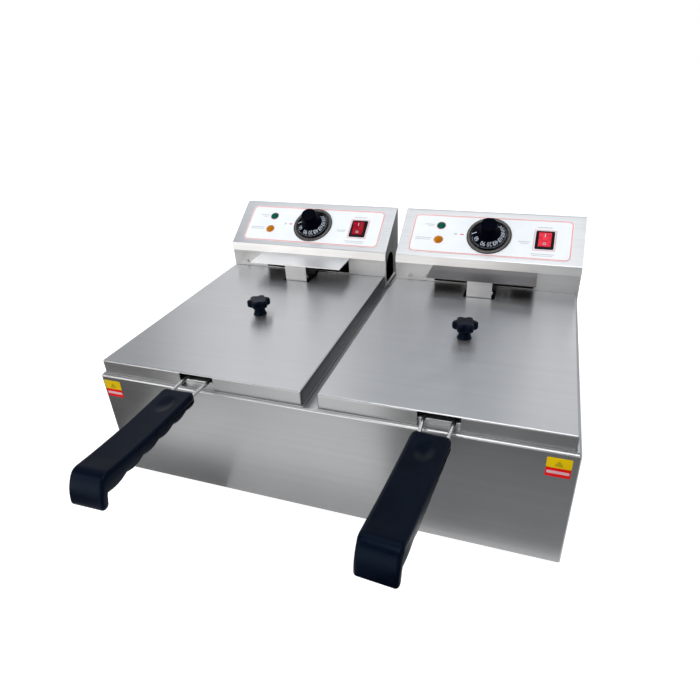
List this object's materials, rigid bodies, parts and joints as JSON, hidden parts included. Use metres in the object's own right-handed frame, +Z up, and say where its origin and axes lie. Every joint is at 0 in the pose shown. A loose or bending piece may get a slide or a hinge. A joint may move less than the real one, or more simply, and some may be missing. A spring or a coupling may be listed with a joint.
{
  "type": "deep fryer",
  "caption": "Twin-tank counter-top electric deep fryer in brushed stainless steel, with lift-off lids, lift-out baskets with black grips, and removable sloping control heads.",
  "frame": {"origin": "on the worktop under the middle of the whole fryer's bounding box, handles and cord glands included", "axes": "+X to the user's right, +Y towards the back, +Z up"},
  "size_m": [0.545, 0.602, 0.2664],
  "materials": {
    "stainless_brushed": "brushed stainless steel sheet",
    "stainless_satin": "satin drawn stainless steel",
    "plated_wire": "bright nickel-plated wire",
    "bezel_chrome": "dark satin metal ring with a bright edge",
    "element_sheath": "dull dark heater sheath",
    "steel_fasteners": "bright plated screws",
    "copper_capillary": "copper bulb and capillary",
    "thermostat_case": "cream phenolic case",
    "black_plastic": "satin blue-black moulded phenolic, fine grain",
    "switch_plastic": "satin black nylon",
    "reset_red": "gloss red button",
    "rocker_red": "translucent red lens",
    "lens_green": "translucent green lens",
    "lens_amber": "translucent amber lens",
    "label_print": "white printed film with a thin pink-red border",
    "sticker_vinyl": "plain vinyl sticker, yellow over red",
    "black_rubber": "matt black rubber"
  },
  "bodies": {
    "casing": {"casing_wrap": "stainless_brushed", "rear_panel": "stainless_brushed", "top_deck": "stainless_brushed", "base_plate": "stainless_brushed", "rubber_feet": "black_rubber", "casing_screws": "steel_fasteners", "centre_divider": "stainless_brushed", "hazard_stickers": "sticker_vinyl"},
    "tank_left": {"oil_tank_left": "stainless_satin"},
    "head_left": {"head_cover_left": "stainless_brushed", "head_base_left": "stainless_brushed", "head_back_cover_left": "stainless_brushed", "label_panel_left": "label_print", "basket_hook_plate_left": "stainless_brushed", "element_stem_left": "stainless_satin", "heating_element_left": "element_sheath", "thermostat_body_left": "thermostat_case", "thermostat_bulb_left": "copper_capillary", "limit_switch_left": "switch_plastic", "dial_bezel_left": "bezel_chrome", "lamp_green_left": "lens_green", "lamp_amber_left": "lens_amber", "rocker_frame_left": "switch_plastic", "head_screws_left": "steel_fasteners", "cord_gland_left": "switch_plastic"},
    "lid_body_left": {"lid_left": "stainless_brushed", "lid_knob_left": "black_plastic", "lid_knob_fixing_left": "steel_fasteners"},
    "basket_left": {"basket_frame_left": "plated_wire", "basket_mesh_left": "plated_wire", "basket_handle_left": "black_plastic"},
    "dial_left": {"dial_knob_left": "black_plastic"},
    "rocker_left": {"rocker_paddle_left": "rocker_red"},
    "reset_left": {"reset_button_left": "reset_red"},
    "tank_right": {"oil_tank_right": "stainless_satin"},
    "head_right": {"head_cover_right": "stainless_brushed", "head_base_right": "stainless_brushed", "head_back_cover_right": "stainless_brushed", "label_panel_right": "label_print", "basket_hook_plate_right": "stainless_brushed", "element_stem_right": "stainless_satin", "heating_element_right": "element_sheath", "thermostat_body_right": "thermostat_case", "thermostat_bulb_right": "copper_capillary", "limit_switch_right": "switch_plastic", "dial_bezel_right": "bezel_chrome", "lamp_green_right": "lens_green", "lamp_amber_right": "lens_amber", "rocker_frame_right": "switch_plastic", "head_screws_right": "steel_fasteners", "cord_gland_right": "switch_plastic"},
    "lid_body_right": {"lid_right": "stainless_brushed", "lid_knob_right": "black_plastic", "lid_knob_fixing_right": "steel_fasteners"},
    "basket_right": {"basket_frame_right": "plated_wire", "basket_mesh_right": "plated_wire", "basket_handle_right": "black_plastic"},
    "dial_right": {"dial_knob_right": "black_plastic"},
    "rocker_right": {"rocker_paddle_right": "rocker_red"},
    "reset_right": {"reset_button_right": "reset_red"}
  },
  "joints": [
    {"name": "tank_lift_left", "type": "slide", "parent": "casing", "child": "tank_left", "axis": [0, 0, 1], "range_m": [0, 0.14]},
    {"name": "head_lift_left", "type": "slide", "parent": "tank_left", "child": "head_left", "axis": [0, 0, 1], "range_m": [0, 0.125]},
    {"name": "lid_lift_left", "type": "slide", "parent": "head_left", "child": "lid_body_left", "axis": [0, -0.8988, 0.4384], "range_m": [0, 0.38]},
    {"name": "basket_lift_left", "type": "slide", "parent": "head_left", "child": "basket_left", "axis": [0, 0, 1], "range_m": [0, 0.095]},
    {"name": "dial_turn_left", "type": "hinge", "parent": "head_left", "child": "dial_left", "pos_m": [-0.1369, 0.24658, 0.23715], "axis": [0, -0.5616, 0.8274], "range_deg": [-270, 0]},
    {"name": "rocker_press_left", "type": "hinge", "parent": "head_left", "child": "rocker_left", "pos_m": [-0.0594, 0.24689, 0.23313], "axis": [1, 0, 0], "range_deg": [-18, 0]},
    {"name": "reset_press_left", "type": "slide", "parent": "head_left", "child": "reset_left", "axis": [0, -1, 0], "range_m": [0, 0.0025], "stiffness_N_per_m": 300},
    {"name": "tank_lift_right", "type": "slide", "parent": "casing", "child": "tank_right", "axis": [0, 0, 1], "range_m": [0, 0.14]},
    {"name": "head_lift_right", "type": "slide", "parent": "tank_right", "child": "head_right", "axis": [0, 0, 1], "range_m": [0, 0.125]},
    {"name": "lid_lift_right", "type": "slide", "parent": "head_right", "child": "lid_body_right", "axis": [-0.0423, -0.8978, 0.4384], "range_m": [0, 0.38]},
    {"name": "basket_lift_right", "type": "slide", "parent": "head_right", "child": "basket_right", "axis": [0, 0, 1], "range_m": [0, 0.095]},
    {"name": "dial_turn_right", "type": "hinge", "parent": "head_right", "child": "dial_right", "pos_m": [0.1401, 0.24658, 0.23715], "axis": [0, -0.5616, 0.8274], "range_deg": [-270, 0]},
    {"name": "rocker_press_right", "type": "hinge", "parent": "head_right", "child": "rocker_right", "pos_m": [0.2176, 0.24689, 0.23313], "axis": [1, 0, 0], "range_deg": [-18, 0]},
    {"name": "reset_press_right", "type": "slide", "parent": "head_right", "child": "reset_right", "axis": [0, -1, 0], "range_m": [0, 0.0025], "stiffness_N_per_m": 300}
  ],
  "couplings": [
    {"joint": "basket_lift_left", "follows": "lid_lift_left", "ratio": 0.25},
    {"joint": "basket_lift_right", "follows": "lid_lift_right", "ratio": 0.25}
  ]
}
